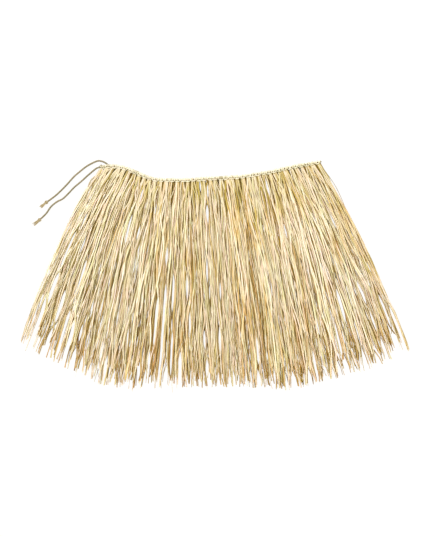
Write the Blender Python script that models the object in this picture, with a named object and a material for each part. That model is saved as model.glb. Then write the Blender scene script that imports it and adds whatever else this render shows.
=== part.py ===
"""A raffia grass skirt, folded in half and laid flat.

A waist cord runs through a row of hitched raffia hanks. The skirt is folded at its right end,
so that a front panel lies on a back panel and both ends of the cord come out at the left, as
ties with a knot and a frayed end. Lengths in the tables are millimetres; Blender gets metres.
X runs along the waist, +Y from the hem to the waist, and Z up from the surface it lies on.
"""

import math
import random

import bmesh
import bpy
from mathutils import Vector

MM = 0.001
GAP = 0.3  # between pieces that touch

# The skirt
HITCHES = 41  # hanks hitched on the cord, in each panel
LOCKS_PER_HITCH = 3  # lying over each other: low, middle and high
LOCK_WIDTH = 5.6
LOCK_THICKNESS = 0.9
LOCK_WIDTHS = (0.8, 1.15)  # the least and the most, as shares of the width
LOCK_TOP_SHARE = 0.5  # a folded leaf is narrower along its upper side
LOCK_TIP_SHARE = 0.55
LOCK_LAYER = 1.25  # from one lying lock to the one over it
DRAPE_END = 0.22  # share of the length over which a lock comes down from its hitch
RAGGED = 26.0  # how much shorter than the hem line a lock may be
TIP_LIFT = 0.5
WANDER = 0.26  # how far a lock strays sideways, as a share of the room between two hitches
WANDER_TURNS = (0.5, 1.1)  # the least and the most waves along a lock
STATIONS = (0.07, DRAPE_END, 0.45, 0.72)  # along a lock, before its tip

# The heading: hitches round the cord, with a pinch between two of them
HITCH_HEIGHT = 5.4
HITCH_DEPTH = 7.2
HITCH_SHARE = 0.73  # of the pitch, the rest being the pinch
PINCH = 0.76  # the heading's size between two hitches
HITCH_CROWN_SHARE = -0.35  # where its top starts to round off, from the cord towards the waist
HITCH_SOLE_SHARE = -0.5  # where its underside does
CORD_DIAMETER = 2.9
TUNNEL_RADIUS = 1.95
TUNNEL_SIDES = 7  # as many as the heading's section has
TUNNEL_FIRST_ANGLE = -60.0
TUNNEL_STATIONS = 24
BEND_STEPS = 6
PANEL_RISE = HITCH_HEIGHT + 0.4  # the front heading lies on the back one

# Upper edge of the waist, from its free end on the left to the fold on the right
WAIST_LINE = (
    # x, y
    (-224.0, 27.4),
    (-204.0, 29.6),
    (-182.0, 27.2),
    (-158.0, 18.6),
    (-134.0, 8.4),
    (-112.0, 2.6),
    (-50.0, 2.0),
    (-10.0, 4.8),
    (50.0, 8.0),
    (106.0, 16.4),
    (154.0, 27.0),
    (212.5, 37.6),
)
# How the locks spread from the waist to the hem. A lean is in degrees from -Y towards -X.
FAN = (
    # share of waist, root lean, tip lean, tip x, tip y
    (0.00, 34.0, 22.0, -389.0, -332.0),
    (0.07, 32.0, 19.0, -352.0, -354.0),
    (0.13, 27.0, 14.5, -294.0, -376.0),
    (0.20, 19.0, 11.0, -234.0, -406.0),
    (0.27, 10.0, 8.0, -174.0, -416.0),
    (0.40, 1.0, 1.0, -54.0, -416.0),
    (0.56, -10.0, -4.0, 62.0, -414.0),
    (0.70, -13.0, -8.0, 158.0, -419.0),
    (0.80, -19.0, -11.0, 222.0, -403.0),
    (0.90, -26.0, -16.0, 314.0, -378.0),
    (1.00, -29.5, -18.5, 393.0, -342.0),
)
WAIST_STEPS = 90
BACK_START = 0.045  # the back panel's free end lies this share of the waist further in
END_DROOP = 1.8  # the front panel's free end sinks past the end of the back one
DROOP_SHARE = 0.05

# The two ties, which are the cord's free ends. Each starts past its panel's heading.
FRONT_TIE = (
    # x, y, height of the middle above the surface
    (-233.5, 21.0, 5.4),
    (-240.0, 16.4, 3.2),
    (-250.8, 7.4, 1.6),
    (-264.0, -4.6, 1.5),
    (-278.0, -16.4, 1.5),
    (-289.0, -28.0, 1.5),
    (-301.0, -39.4, 1.5),
    (-312.0, -45.0, 1.6),
    (-324.4, -55.0, 1.5),
    (-334.0, -68.6, 1.5),
    (-345.0, -79.4, 1.6),
)
BACK_TIE = (
    (-210.5, 28.4, 2.6),
    (-215.0, 32.2, 2.1),
    (-221.5, 35.4, 1.6),
    (-230.0, 36.6, 1.5),
    (-240.6, 32.6, 1.5),
    (-254.2, 25.0, 1.5),
    (-269.2, 13.0, 1.5),
    (-279.6, 3.8, 1.5),
    (-295.6, -14.0, 1.5),
    (-314.0, -31.8, 1.5),
    (-331.0, -44.6, 1.6),
)
CORD_STANDS_OUT = 1.0
TIE_STRAIGHT = 2.0  # goes on the way the cord left its heading
TIE_POINT_SPACING = 6.5
KNOT_LENGTH = 7.0
KNOT_RADIUS = 3.1
KNOT_SIDES = 6
KNOT_LOBE = 0.1  # how far the crossings of the cord stand out, as a share of the radius
KNOT_FLATNESS = 0.8
FLOOR_CLEARANCE = 0.05
KNOT_PROFILE = (
    # share of the knot's length, share of its radius
    (0.00, 0.42),
    (0.18, 0.86),
    (0.42, 1.00),
    (0.62, 0.82),
    (0.80, 0.96),
    (1.00, 0.50),
)
TUFT_LENGTH = 13.0
TUFT_LOCK_WIDTH = 3.2
TUFT_STATIONS = (0.4, 1.0)
TUFT_SPLAY = (0.5, 1.0)  # how far a lock's end swings out
TUFT_HEIGHTS = (0.9, 0.4)  # above the surface, from the knot to the end

RAFFIA = (0.67, 0.53, 0.30, 1.0)
CORD_STRAW = (0.56, 0.46, 0.29, 1.0)


def smoothstep(value):
    value = min(max(value, 0.0), 1.0)
    return value * value * (3 - 2 * value)


def mix(first, last, share):
    return first + (last - first) * share


def read_table(rows, at):
    """The columns after the first one, read at a value of the first, on a smooth curve."""
    last = len(rows) - 2
    i = max(0, min(last, sum(row[0] <= at for row in rows) - 1))
    before, low, high, after = (rows[max(0, min(last + 1, i + k))] for k in (-1, 0, 1, 2))
    span = high[0] - low[0]
    t = (at - low[0]) / span
    found = []
    for column in range(1, len(low)):
        a, b = low[column], high[column]
        slope_a = (b - before[column]) / (high[0] - before[0]) * span
        slope_b = (after[column] - a) / (after[0] - low[0]) * span
        blend = smoothstep(t)
        rise = t * (1 - t) * ((1 - t) * slope_a - t * slope_b)
        found.append(mix(a, b, blend) + rise)
    return found


class Line:
    """A smooth line that is read by its length."""

    def __init__(self, points):
        self.points = [Vector(point) for point in points]
        self.lengths = [0.0]
        for a, b in zip(self.points, self.points[1:]):
            self.lengths.append(self.lengths[-1] + (b - a).length)
        self.length = self.lengths[-1]

    def at(self, share):
        """The point at a share of the length; past an end it goes straight on."""
        want = share * self.length
        i = sum(length <= want for length in self.lengths) - 1
        i = max(0, min(len(self.points) - 2, i))
        span = self.lengths[i + 1] - self.lengths[i]
        return self.points[i].lerp(self.points[i + 1], (want - self.lengths[i]) / span)

    def direction(self, share):
        step = 2.0 / self.length
        return (self.at(share + step) - self.at(share - step)).normalized()


def through(points, per_span=12):
    """A Catmull-Rom curve through the points."""
    found = []
    count = len(points)
    for i in range(count - 1):
        p0, p1, p2, p3 = (Vector(points[max(0, min(count - 1, i + k))]) for k in (-1, 0, 1, 2))
        for step in range(per_span):
            t = step / per_span
            found.append(
                0.5
                * (
                    2 * p1
                    + (p2 - p0) * t
                    + (2 * p0 - 5 * p1 + 4 * p2 - p3) * t**2
                    + (3 * p1 - p0 - 3 * p2 + p3) * t**3
                )
            )
    return found + [Vector(points[-1])]


def waist_curve():
    """The cord's middle along the waist, half a hitch below the waist's upper edge."""
    left, right = WAIST_LINE[0][0], WAIST_LINE[-1][0]
    edge = []
    for i in range(WAIST_STEPS + 1):
        x = mix(left, right, i / WAIST_STEPS)
        edge.append((x, read_table(WAIST_LINE, x)[0] - HITCH_DEPTH / 2, 0.0))
    return Line(edge)


WAIST = waist_curve()


def lean_direction(degrees):
    angle = math.radians(degrees)
    return Vector((-math.sin(angle), -math.cos(angle), 0.0))


def material(name, colour, roughness):
    made = bpy.data.materials.new(name)
    made.use_nodes = True
    shader = made.node_tree.nodes["Principled BSDF"]
    shader.inputs["Base Color"].default_value = colour
    shader.inputs["Roughness"].default_value = roughness
    shader.inputs["Metallic"].default_value = 0.0
    return made


def add_mesh(name, mesh_maker, look):
    """Makes a named object from a closed bmesh in millimetres."""
    mesh_maker.normal_update()
    bmesh.ops.recalc_face_normals(mesh_maker, faces=mesh_maker.faces)
    bmesh.ops.scale(mesh_maker, vec=(MM, MM, MM), verts=mesh_maker.verts)
    mesh = bpy.data.meshes.new(name)
    mesh_maker.to_mesh(mesh)
    mesh_maker.free()
    mesh.materials.append(look)
    made = bpy.data.objects.new(name, mesh)
    bpy.context.scene.collection.objects.link(made)
    return made


def add_ring(bm, points):
    return [bm.verts.new(point) for point in points]


def join_rings(bm, first, second, leave_out=()):
    """Quads from one ring to the next, all round but for the sides left out."""
    count = len(first)
    for side in range(count):
        if side not in leave_out:
            after = (side + 1) % count
            bm.faces.new((first[side], first[after], second[after], second[side]))


class Panel:
    """One half of the skirt: a heading of hitches round the cord, and the locks they hold."""

    def __init__(self, start, base, rest, seed, overlap_order):
        self.start = start
        self.base = base  # height of the heading's underside
        self.rest = rest  # height of the lowest lock's underside, where it lies
        self.random = random.Random(seed)
        self.overlap_order = overlap_order

    def share(self, along):
        """A share of this panel as a share of the whole waist."""
        return mix(self.start, 1.0, along)

    def droop(self, share):
        if self.base == 0:
            return 0.0
        return END_DROOP * (1 - smoothstep(share / DROOP_SHARE))

    def place(self, share, hemward, height):
        """A point of the heading, off the cord's line by so much towards the hem."""
        along = WAIST.direction(share)
        out = Vector((along.y, -along.x, 0.0))
        point = WAIST.at(share) + out * hemward
        point.z = self.base + height - self.droop(share)
        return point

    def hitch_ring(self, share, size):
        """The heading's section: three flat steps towards the hem, where the locks start."""
        half, middle = HITCH_DEPTH / 2, HITCH_HEIGHT / 2
        step = HITCH_HEIGHT / LOCKS_PER_HITCH
        outline = [(half, step * i) for i in range(LOCKS_PER_HITCH + 1)]
        outline += [
            (HITCH_CROWN_SHARE * half, HITCH_HEIGHT),
            (-half, middle),
            (HITCH_SOLE_SHARE * half, 0.0),
        ]
        return [
            self.place(share, hemward * size, middle + (height - middle) * size)
            for hemward, height in outline
        ]

    def tunnel_ring(self, share):
        """The round way that the hitches leave for the cord."""
        middle = HITCH_HEIGHT / 2
        found = []
        for i in range(TUNNEL_SIDES):
            angle = math.radians(TUNNEL_FIRST_ANGLE + 360 * i / TUNNEL_SIDES)
            found.append(
                self.place(
                    share,
                    TUNNEL_RADIUS * math.cos(angle),
                    middle + TUNNEL_RADIUS * math.sin(angle),
                )
            )
        return found

    def lock_points(self, hitch, layer):
        """(middle, half width, underside, thickness) along one lock."""
        draw = self.random
        share = self.share((hitch + 0.5) / HITCHES)
        root_lean, tip_lean, tip_x, tip_y = read_table(FAN, share)
        next_tip = read_table(FAN, min(share + 1 / HITCHES, 1.0))
        last_tip = read_table(FAN, max(share - 1 / HITCHES, 0.0))
        room = (next_tip[2] - last_tip[2]) / 2
        root = self.place(share, HITCH_DEPTH / 2, 0.0).to_2d()
        tip = Vector((tip_x, tip_y))
        reach = (tip - root).length
        start_way = lean_direction(root_lean).to_2d() * reach
        end_way = lean_direction(tip_lean).to_2d() * reach
        fan_out = (self.overlap_order[layer] - 1) * room / LOCKS_PER_HITCH
        sway, turns = draw.uniform(-1, 1), draw.uniform(*WANDER_TURNS)
        phase = draw.uniform(0, 2 * math.pi)
        width = LOCK_WIDTH * draw.uniform(*LOCK_WIDTHS)
        tip_share = 1 - RAGGED / reach * draw.random() ** 2
        rest = self.rest + layer * LOCK_LAYER
        root_height = self.base - self.droop(share) + layer * HITCH_HEIGHT / LOCKS_PER_HITCH
        found = []
        for t in (*STATIONS, tip_share):
            line = (
                root * (2 * t**3 - 3 * t**2 + 1)
                + start_way * (t**3 - 2 * t**2 + t)
                + tip * (3 * t**2 - 2 * t**3)
                + end_way * (t**3 - t**2)
            )
            way = start_way.lerp(end_way, t).normalized()
            side = Vector((-way.y, way.x))
            stray = WANDER * room * (sway * t + math.sin(phase + turns * math.tau * t)) * t / 2
            middle = line + side * (fan_out * t + stray)
            down = smoothstep((t - STATIONS[0]) / (DRAPE_END - STATIONS[0]))
            underside = mix(root_height, rest, down)
            at_tip = t == tip_share
            narrow = LOCK_TIP_SHARE if at_tip else 1.0
            if at_tip:
                underside += TIP_LIFT
            found.append((middle, side * width * narrow / 2, underside, LOCK_THICKNESS))
        return found

    def grow_lock(self, bm, root, hitch, layer):
        ring = root
        for middle, half, low, thickness in self.lock_points(hitch, layer):
            high = low + thickness
            upper = half * LOCK_TOP_SHARE
            corners = [
                (middle - half).to_3d() + Vector((0, 0, low)),
                (middle + half).to_3d() + Vector((0, 0, low)),
                (middle + upper).to_3d() + Vector((0, 0, high)),
                (middle - upper).to_3d() + Vector((0, 0, high)),
            ]
            following = add_ring(bm, corners)
            join_rings(bm, ring, following)
            ring = following
        bm.faces.new(ring)

    def build(self, name, look):
        bm = bmesh.new()
        root_sides = range(LOCKS_PER_HITCH)
        first = ring = add_ring(bm, self.hitch_ring(self.share(0.0), PINCH))
        for hitch in range(HITCHES):
            middle = (hitch + 0.5) / HITCHES
            half = HITCH_SHARE / HITCHES / 2
            left = add_ring(bm, self.hitch_ring(self.share(middle - half), 1.0))
            right = add_ring(bm, self.hitch_ring(self.share(middle + half), 1.0))
            pinch = add_ring(bm, self.hitch_ring(self.share((hitch + 1) / HITCHES), PINCH))
            join_rings(bm, ring, left)
            join_rings(bm, left, right, leave_out=root_sides)
            join_rings(bm, right, pinch)
            for layer in root_sides:
                root = [left[layer], right[layer], right[layer + 1], left[layer + 1]]
                self.grow_lock(bm, root, hitch, layer)
            ring = pinch
        tunnel_start = tunnel = add_ring(bm, self.tunnel_ring(self.share(0.0)))
        for station in range(1, TUNNEL_STATIONS + 1):
            following = add_ring(bm, self.tunnel_ring(self.share(station / TUNNEL_STATIONS)))
            join_rings(bm, tunnel, following)
            tunnel = following
        join_rings(bm, first, tunnel_start)
        join_rings(bm, ring, tunnel)
        return add_mesh(name, bm, look)

    def cord_points(self):
        """The cord's middle inside this heading, from the free end to the fold."""
        middle = HITCH_HEIGHT / 2
        return [
            self.place(self.share(i / TUNNEL_STATIONS), 0.0, middle)
            for i in range(TUNNEL_STATIONS + 1)
        ]


def tube(name, points, look):
    """A round cord along points in millimetres, as a curve with filled caps."""
    curve = bpy.data.curves.new(name, "CURVE")
    curve.dimensions = "3D"
    spline = curve.splines.new("POLY")
    spline.points.add(len(points) - 1)
    for slot, point in zip(spline.points, points):
        slot.co = (*(Vector(point) * MM), 1.0)
    curve.bevel_depth = CORD_DIAMETER / 2 * MM
    curve.bevel_resolution = 2
    curve.use_fill_caps = True
    curve.materials.append(look)
    made = bpy.data.objects.new(name, curve)
    bpy.context.scene.collection.objects.link(made)
    return made


def fold_bend(upper, lower, outward):
    """The cord's turn at the fold, from the front heading down to the back one."""
    radius = (upper - lower).length / 2
    centre = (upper + lower) / 2 + outward * GAP
    found = []
    for step in range(BEND_STEPS + 1):
        angle = math.pi / 2 - math.pi * step / BEND_STEPS
        found.append(
            centre + outward * radius * math.cos(angle) + Vector((0, 0, radius * math.sin(angle)))
        )
    return found


def free_end(points):
    """Where the waist cord stops and the tie goes on: a little out of the heading."""
    return points[0] + (points[0] - points[1]).normalized() * CORD_STANDS_OUT


def add_waist_cord(front, back, look):
    """One cord: through the front heading, round the fold, and back through the other."""
    upper, lower = front.cord_points(), back.cord_points()
    bend = fold_bend(upper[-1], lower[-1], WAIST.direction(1.0))
    for points in (upper, lower):
        points[0] = free_end(points)
    return tube("waist_cord", upper + bend + lower[::-1], look)


def tie_line(route, cord_end, outward):
    """A tie's middle, from its start just past the cord's end to its knot."""
    line = Line(through([cord_end, cord_end + outward * TIE_STRAIGHT, *route]))
    straight = TIE_STRAIGHT / line.length
    count = round(line.length / TIE_POINT_SPACING)
    rest = [line.at(mix(straight, 1.0, i / count)) for i in range(count + 1)]
    return [line.at(GAP / line.length), *rest]


class TieEnd:
    """The knot at a tie's end, and the two locks of raffia that fray out of it."""

    def __init__(self, tie, seed):
        self.random = random.Random(seed)
        forward = tie[-1] - tie[-3]
        self.forward = Vector((forward.x, forward.y, 0.0)).normalized()
        self.side = Vector((-self.forward.y, self.forward.x, 0.0))
        self.start = tie[-1] + self.forward * GAP

    def knot_ring(self, share, radius):
        """Points round the knot; the lobes turn along it, as the cord's crossings do."""
        middle = self.start + self.forward * KNOT_LENGTH * share
        points = []
        for i in range(KNOT_SIDES):
            angle = math.radians(-150 + 360 * i / KNOT_SIDES)
            size = radius * (1 + KNOT_LOBE * math.cos(2 * angle + 5 * share))
            point = middle + self.side * math.cos(angle) * size
            point.z += math.sin(angle) * size * KNOT_FLATNESS
            point.z = max(point.z, FLOOR_CLEARANCE)
            points.append(point)
        return points

    def grow_lock(self, bm, root, hand):
        """One frayed lock, from half of the knot's last ring; hand is its side, -1 or 1."""
        ring = root
        splay = hand * self.random.uniform(*TUFT_SPLAY)
        length = TUFT_LENGTH * self.random.uniform(*LOCK_WIDTHS)
        for t in TUFT_STATIONS:
            middle = self.start + self.forward * (KNOT_LENGTH + length * t)
            middle += self.side * (hand * TUFT_LOCK_WIDTH / 3 + splay * t)
            middle.z = mix(*TUFT_HEIGHTS, t)
            half = self.side * TUFT_LOCK_WIDTH / 2 * mix(1.0, LOCK_TIP_SHARE, t)
            rise = Vector((0.0, 0.0, LOCK_THICKNESS))
            upper = half * LOCK_TOP_SHARE
            corners = [
                middle - half,
                middle + half,
                middle + upper + rise,
                middle - upper + rise,
            ]
            following = add_ring(bm, corners)
            join_rings(bm, ring, following)
            ring = following
        bm.faces.new(ring)

    def build(self, name, look):
        bm = bmesh.new()
        rings = [
            add_ring(bm, self.knot_ring(share, KNOT_RADIUS * size))
            for share, size in KNOT_PROFILE
        ]
        for first, second in zip(rings, rings[1:]):
            join_rings(bm, first, second)
        bm.faces.new(rings[0])
        low_left, low_middle, low_right, high_right, high_middle, high_left = rings[-1]
        self.grow_lock(bm, [low_left, low_middle, high_middle, high_left], -1)
        self.grow_lock(bm, [low_middle, low_right, high_right, high_middle], 1)
        return add_mesh(name, bm, look)


def centre_of(objects):
    """The middle of the objects' common box in X and Y, in metres."""
    corners = [vertex.co for made in objects for vertex in made.data.vertices]
    xs, ys = [corner.x for corner in corners], [corner.y for corner in corners]
    return Vector(((min(xs) + max(xs)) / 2, (min(ys) + max(ys)) / 2, 0.0))


def main():
    for old in list(bpy.data.objects):
        bpy.data.objects.remove(old)
    raffia = material("raffia", RAFFIA, 0.6)
    straw = material("cord_straw", CORD_STRAW, 0.75)

    back = Panel(BACK_START, 0.0, 0.0, seed=11, overlap_order=(2, 0, 1))
    front_rest = LOCKS_PER_HITCH * LOCK_LAYER
    front = Panel(0.0, PANEL_RISE, front_rest, seed=5, overlap_order=(0, 2, 1))
    grass = [back.build("back_grass", raffia), front.build("front_grass", raffia)]
    cord = add_waist_cord(front, back, straw)

    made = [*grass, cord]
    for name, panel, route, seed in (
        ("front_tie", front, FRONT_TIE, 3),
        ("back_tie", back, BACK_TIE, 8),
    ):
        points = panel.cord_points()
        end = free_end(points)
        tie = tie_line(route, end, (end - points[0]).normalized())
        made.append(tube(name, tie, straw))
        made.append(TieEnd(tie, seed).build(name + "_end", straw))

    origin = centre_of(grass)
    for piece in made:
        piece.location = -origin


main()
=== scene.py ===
"""The looks of a raffia grass skirt, folded in half and laid flat.

Strips of dried leaf hang in hanks from hitches on a twisted waist cord. The front panel lies on
the back one, the fold is at the right, and the two tie ends come out at the left. Sizes in the
tables and fields are millimetres in the skirt's own plan, and Blender gets metres.
"""

import logging
import math
from collections.abc import Sequence
from dataclasses import dataclass, field
from enum import Enum

import bpy
import numpy as np
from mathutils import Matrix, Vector


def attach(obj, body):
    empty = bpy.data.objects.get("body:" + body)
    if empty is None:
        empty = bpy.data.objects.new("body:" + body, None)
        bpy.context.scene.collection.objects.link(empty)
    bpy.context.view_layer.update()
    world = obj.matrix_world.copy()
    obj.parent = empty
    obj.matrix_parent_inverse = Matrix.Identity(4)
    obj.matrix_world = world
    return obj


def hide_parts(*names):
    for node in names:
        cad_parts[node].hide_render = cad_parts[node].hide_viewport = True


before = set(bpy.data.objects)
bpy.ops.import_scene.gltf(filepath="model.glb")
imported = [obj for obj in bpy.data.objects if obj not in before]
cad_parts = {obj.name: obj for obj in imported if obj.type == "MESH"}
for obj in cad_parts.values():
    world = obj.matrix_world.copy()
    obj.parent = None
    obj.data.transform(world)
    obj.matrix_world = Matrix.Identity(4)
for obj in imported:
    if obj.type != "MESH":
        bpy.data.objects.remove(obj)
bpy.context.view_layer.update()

log = logging.getLogger("grass_skirt")

Array = np.ndarray
Rows = Sequence[Sequence[float]]
Triple = tuple[float, float, float]
Colour = Triple
Stops = tuple[tuple[float, Colour], ...]

MM = 0.001
UP = np.array((0.0, 0.0, 1.0))
# From the plan's own origin, at the waist, to the frame's, under the middle of the skirt.
LAID_AT = np.array((-2.5534, 191.0202, 0.0))

HITCHES = 41  # on each panel
HITCH_HEIGHT = 5.4
HITCH_DEPTH = 7.2  # from the upper edge down to the loops' lower edge
CORD_DIAMETER = 2.9
FULL_DROP = 410.0  # from the waist to the hem
LEAF_RUN = 405.0  # the length of leaf that hangs there, without its part in the hitch
SHARP_FROM = math.radians(50)  # the angle between faces from which their edge isn't smoothed

# Upper edge of the waist, from its free end on the left to the fold on the right: x, y.
WAIST_LINE: Rows = (
    (-224.0, 27.4),
    (-204.0, 29.6),
    (-182.0, 27.2),
    (-158.0, 18.6),
    (-134.0, 8.4),
    (-112.0, 2.6),
    (-50.0, 2.0),
    (-10.0, 4.8),
    (50.0, 8.0),
    (106.0, 16.4),
    (154.0, 27.0),
    (212.5, 37.6),
)
# How the hanks spread: share of waist, root lean, tip lean, tip x, tip y. A lean is in degrees
# from straight down towards the left.
FAN: Rows = (
    (0.00, 34.0, 22.0, -389.0, -332.0),
    (0.07, 32.0, 19.0, -352.0, -354.0),
    (0.13, 27.0, 14.5, -294.0, -376.0),
    (0.20, 19.0, 11.0, -234.0, -406.0),
    (0.27, 10.0, 8.0, -174.0, -416.0),
    (0.40, 1.0, 1.0, -54.0, -416.0),
    (0.56, -10.0, -4.0, 62.0, -414.0),
    (0.70, -13.0, -8.0, 158.0, -419.0),
    (0.80, -19.0, -11.0, 222.0, -403.0),
    (0.90, -26.0, -16.0, 314.0, -378.0),
    (1.00, -29.5, -18.5, 393.0, -342.0),
)
# The ties' routes past the headings: x, y, height of the middle above the floor.
FRONT_ROUTE: Rows = (
    (-233.5, 21.0, 5.4),
    (-240.0, 16.4, 3.2),
    (-250.8, 7.4, 1.6),
    (-264.0, -4.6, 1.5),
    (-278.0, -16.4, 1.5),
    (-289.0, -28.0, 1.5),
    (-301.0, -39.4, 1.5),
    (-312.0, -45.0, 1.6),
    (-324.4, -55.0, 1.5),
    (-334.0, -68.6, 1.5),
    (-345.0, -79.4, 1.6),
)
BACK_ROUTE: Rows = (
    (-210.5, 28.4, 2.6),
    (-215.0, 32.2, 2.1),
    (-221.5, 35.4, 1.6),
    (-230.0, 36.6, 1.5),
    (-240.6, 32.6, 1.5),
    (-254.2, 25.0, 1.5),
    (-269.2, 13.0, 1.5),
    (-279.6, 3.8, 1.5),
    (-295.6, -14.0, 1.5),
    (-314.0, -31.8, 1.5),
    (-331.0, -44.6, 1.6),
)
# Where the hanks part and the table shows: share of waist, where the gap opens and closes as
# shares of the drop, and its width.
PARTINGS: Rows = (
    (0.339, 0.50, 1.05, 5.0),
    (0.038, 0.72, 1.05, 6.5),
    (0.124, 0.78, 1.05, 7.5),
    (0.083, 0.82, 1.05, 7.0),
    (0.991, 0.77, 1.05, 5.5),
    (0.045, 0.56, 0.74, 6.5),
    (0.085, 0.65, 0.83, 5.5),
    (0.876, 0.60, 0.77, 5.5),
    (0.141, 0.90, 1.05, 9.0),
    (0.974, 0.88, 1.05, 8.0),
    (0.107, 0.74, 1.00, 4.0),
    (0.043, 0.36, 0.58, 4.0),
    (0.320, 0.56, 0.82, 3.6),
    (0.384, 0.83, 1.05, 6.0),
    (0.851, 0.75, 0.93, 4.5),
    (0.352, 0.90, 1.05, 9.0),
    (0.161, 0.92, 1.05, 8.0),
    (0.363, 0.73, 0.95, 3.4),
    (0.111, 0.47, 0.64, 3.8),
    (0.977, 0.69, 0.88, 3.6),
    (0.361, 0.45, 0.62, 3.8),
    (0.784, 0.85, 0.98, 4.6),
    (0.709, 0.94, 1.05, 12.0),
    (0.202, 0.17, 0.34, 3.6),
    (0.945, 0.88, 1.05, 5.0),
    (0.894, 0.93, 1.05, 8.0),
    (0.609, 0.75, 0.91, 3.6),
    (0.838, 0.93, 1.05, 9.0),
    (0.604, 0.92, 1.05, 6.5),
    (0.182, 0.94, 1.05, 7.0),
    (0.938, 0.62, 0.74, 4.0),
    (0.450, 0.72, 0.84, 4.0),
    (0.313, 0.82, 0.92, 4.2),
    (0.465, 0.40, 0.50, 4.0),
    (0.746, 0.01, 0.12, 4.2),
    (0.478, 0.12, 0.21, 5.2),
    (0.409, 0.64, 0.74, 4.0),
    (0.143, 0.78, 0.87, 4.8),
    (0.940, 0.74, 0.85, 3.8),
    (0.922, 0.95, 1.05, 8.0),
    (0.401, 0.46, 0.58, 3.6),
    (0.761, 0.95, 1.05, 9.0),
    (0.855, 0.93, 1.05, 7.0),
    (0.308, 0.92, 1.05, 5.4),
    (0.496, 0.71, 0.85, 3.0),
    (0.215, 0.86, 0.97, 3.6),
    (0.486, 0.01, 0.10, 4.0),
    (0.335, 0.32, 0.42, 4.0),
    (0.294, 0.89, 0.98, 3.8),
    (0.773, 0.24, 0.33, 3.6),
    (0.505, 0.50, 0.59, 3.6),
    (0.455, 0.86, 0.96, 3.4),
    (0.237, 0.95, 1.05, 7.0),
    (0.200, 0.96, 1.05, 7.0),
    (0.235, 0.23, 0.30, 4.0),
    (0.216, 0.04, 0.13, 3.6),
    (0.939, 0.25, 0.34, 3.2),
    (0.824, 0.95, 1.05, 6.5),
    (0.456, 0.01, 0.07, 4.8),
    (0.087, 0.38, 0.47, 3.2),
    (0.687, 0.92, 1.05, 3.8),
    (0.055, 0.25, 0.33, 3.2),
)


def smoothstep(value: Array | float) -> Array:
    """An even ease from 0 to 1.

    Args:
        value: how far along it is; anything past 0 or 1 stays there.

    Returns:
        The eased share.
    """
    held = np.clip(value, 0.0, 1.0)
    return held * held * (3 - 2 * held)


def mix(first: Array | float, last: Array | float, share: Array | float) -> Array:
    """The value at a share of the way from first to last."""
    return first + (last - first) * share


def unit(vectors: Array) -> Array:
    """The vectors at length one."""
    return vectors / np.linalg.norm(vectors, axis=-1, keepdims=True)


def read_table(rows: Rows, at: float) -> Array:
    """Reads a table between its rows.

    Args:
        rows: the table, in order of its first column.
        at: a value of the first column.

    Returns:
        The other columns there, on a smooth curve through the rows.
    """
    table = np.array(rows)
    last = len(table) - 2
    i = int(np.clip(np.searchsorted(table[:, 0], at, side="right") - 1, 0, last))
    before, low, high, after = (
        table[int(np.clip(i + k, 0, last + 1))] for k in (-1, 0, 1, 2)
    )
    span = high[0] - low[0]
    t = (at - low[0]) / span
    slope_low = (high - before)[1:] / (high[0] - before[0]) * span
    slope_high = (after - low)[1:] / (after[0] - low[0]) * span
    rise = t * (1 - t) * ((1 - t) * slope_low - t * slope_high)
    return mix(low[1:], high[1:], smoothstep(t)) + rise


def through(points: Rows, per_span: int = 12) -> Array:
    """A smooth line through the points.

    Args:
        points: what it passes through.
        per_span: how many points it has from one of them to the next.

    Returns:
        The line's points.
    """
    held = np.array(points, float)
    padded = np.vstack((held[:1], held, held[-1:]))
    t = (np.arange(per_span) / per_span)[:, None]
    spans = [
        0.5
        * (
            2 * p1
            + (p2 - p0) * t
            + (2 * p0 - 5 * p1 + 4 * p2 - p3) * t**2
            + (3 * p1 - p0 - 3 * p2 + p3) * t**3
        )
        for p0, p1, p2, p3 in zip(padded, padded[1:], padded[2:], padded[3:], strict=False)
    ]
    return np.vstack((*spans, held[-1:]))


@dataclass
class Line:
    """A line that is read by its length."""

    points: Array
    lengths: Array = field(init=False)

    def __post_init__(self) -> None:
        """Measures the line."""
        steps = np.linalg.norm(np.diff(self.points, axis=0), axis=1)
        self.lengths = np.concatenate(([0.0], np.cumsum(steps)))

    @property
    def length(self) -> float:
        """The whole length."""
        return float(self.lengths[-1])

    def at(self, shares: Array | float) -> Array:
        """The points at shares of the length.

        Args:
            shares: 0 at the start and 1 at the end; past either it goes straight on.

        Returns:
            The points, one row for each share.
        """
        want = np.atleast_1d(shares) * self.length
        i = np.clip(
            np.searchsorted(self.lengths, want, side="right") - 1, 0, len(self.points) - 2
        )
        part = (want - self.lengths[i]) / (self.lengths[i + 1] - self.lengths[i])
        return mix(self.points[i], self.points[i + 1], part[:, None])

    def direction(self, share: float) -> Array:
        """The way that the line goes at a share of its length."""
        step = 2.0 / self.length
        return unit(self.at(share + step)[0] - self.at(share - step)[0])


def waist_line() -> Line:
    """The cord's way along the waist.

    Returns:
        Its middle, half a hitch below the upper edge.
    """
    xs = np.linspace(WAIST_LINE[0][0], WAIST_LINE[-1][0], 91)
    edge = [(x, read_table(WAIST_LINE, x)[0] - HITCH_DEPTH / 2, 0.0) for x in xs]
    return Line(np.array(edge))


WAIST = waist_line()


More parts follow.
